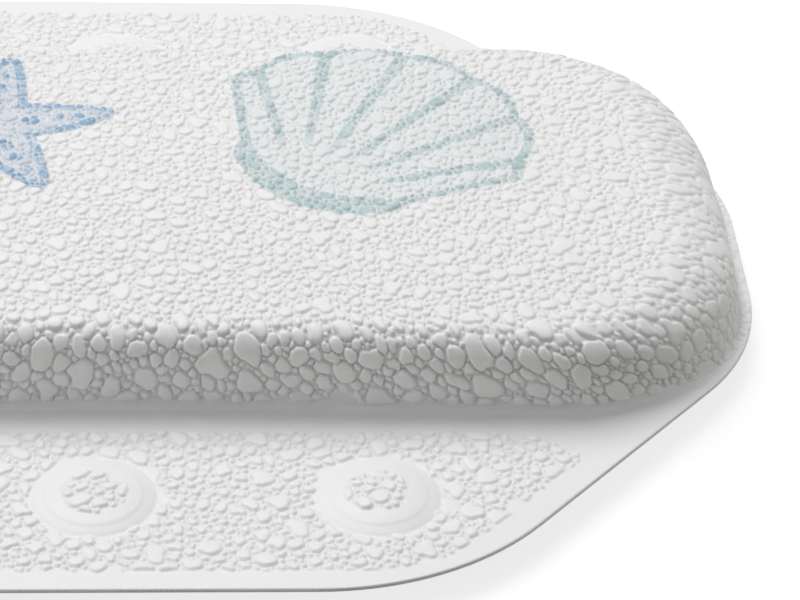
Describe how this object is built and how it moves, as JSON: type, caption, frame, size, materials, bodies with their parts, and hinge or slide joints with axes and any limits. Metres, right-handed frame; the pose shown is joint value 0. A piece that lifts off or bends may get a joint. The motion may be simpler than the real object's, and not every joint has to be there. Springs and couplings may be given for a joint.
{
  "type": "bath pillow",
  "caption": "Padded bath pillow: foam cushion under a pebble-grained vinyl cover, flat welded flange, suction cups underneath.",
  "frame": {"origin": "under the middle of the cushion, in the plane of the suction cups' rims", "axes": "+Z away from the bath's wall, out of the cushion's top; +X along the pillow's length; the front long side faces -Y"},
  "size_m": [0.379, 0.302, 0.0397],
  "materials": {
    "cover_vinyl": "satin foamed vinyl with an embossed pebble grain, pale printed shell figure",
    "base_vinyl": "smooth satin vinyl sheet",
    "core_foam": "open-cell polyurethane foam, matt",
    "cup_vinyl": "glossy, slightly cloudy clear soft vinyl"
  },
  "bodies": {
    "pillow": {"top_cover": "cover_vinyl", "foam_core": "core_foam", "base_sheet": "base_vinyl"},
    "cup_front_left": {"suction_cup_front_left": "cup_vinyl"},
    "cup_front_centre": {"suction_cup_front_centre": "cup_vinyl"},
    "cup_front_right": {"suction_cup_front_right": "cup_vinyl"},
    "cup_back_left": {"suction_cup_back_left": "cup_vinyl"},
    "cup_back_centre": {"suction_cup_back_centre": "cup_vinyl"},
    "cup_back_right": {"suction_cup_back_right": "cup_vinyl"}
  },
  "joints": [
    {"name": "front_left_press", "type": "slide", "parent": "pillow", "child": "cup_front_left", "axis": [0, 0, 1], "range_m": [0, 0.0035], "stiffness_N_per_m": 500, "springref_m": -0.0025, "deforming": ["suction_cup_front_left"]},
    {"name": "front_centre_press", "type": "slide", "parent": "pillow", "child": "cup_front_centre", "axis": [0, 0, 1], "range_m": [0, 0.0035], "stiffness_N_per_m": 500, "springref_m": -0.0025, "deforming": ["suction_cup_front_centre"]},
    {"name": "front_right_press", "type": "slide", "parent": "pillow", "child": "cup_front_right", "axis": [0, 0, 1], "range_m": [0, 0.0035], "stiffness_N_per_m": 500, "springref_m": -0.0025, "deforming": ["suction_cup_front_right"]},
    {"name": "back_left_press", "type": "slide", "parent": "pillow", "child": "cup_back_left", "axis": [0, 0, 1], "range_m": [0, 0.0035], "stiffness_N_per_m": 500, "springref_m": -0.0025, "deforming": ["suction_cup_back_left"]},
    {"name": "back_centre_press", "type": "slide", "parent": "pillow", "child": "cup_back_centre", "axis": [0, 0, 1], "range_m": [0, 0.0035], "stiffness_N_per_m": 500, "springref_m": -0.0025, "deforming": ["suction_cup_back_centre"]},
    {"name": "back_right_press", "type": "slide", "parent": "pillow", "child": "cup_back_right", "axis": [0, 0, 1], "range_m": [0, 0.0035], "stiffness_N_per_m": 500, "springref_m": -0.0025, "deforming": ["suction_cup_back_right"]}
  ]
}
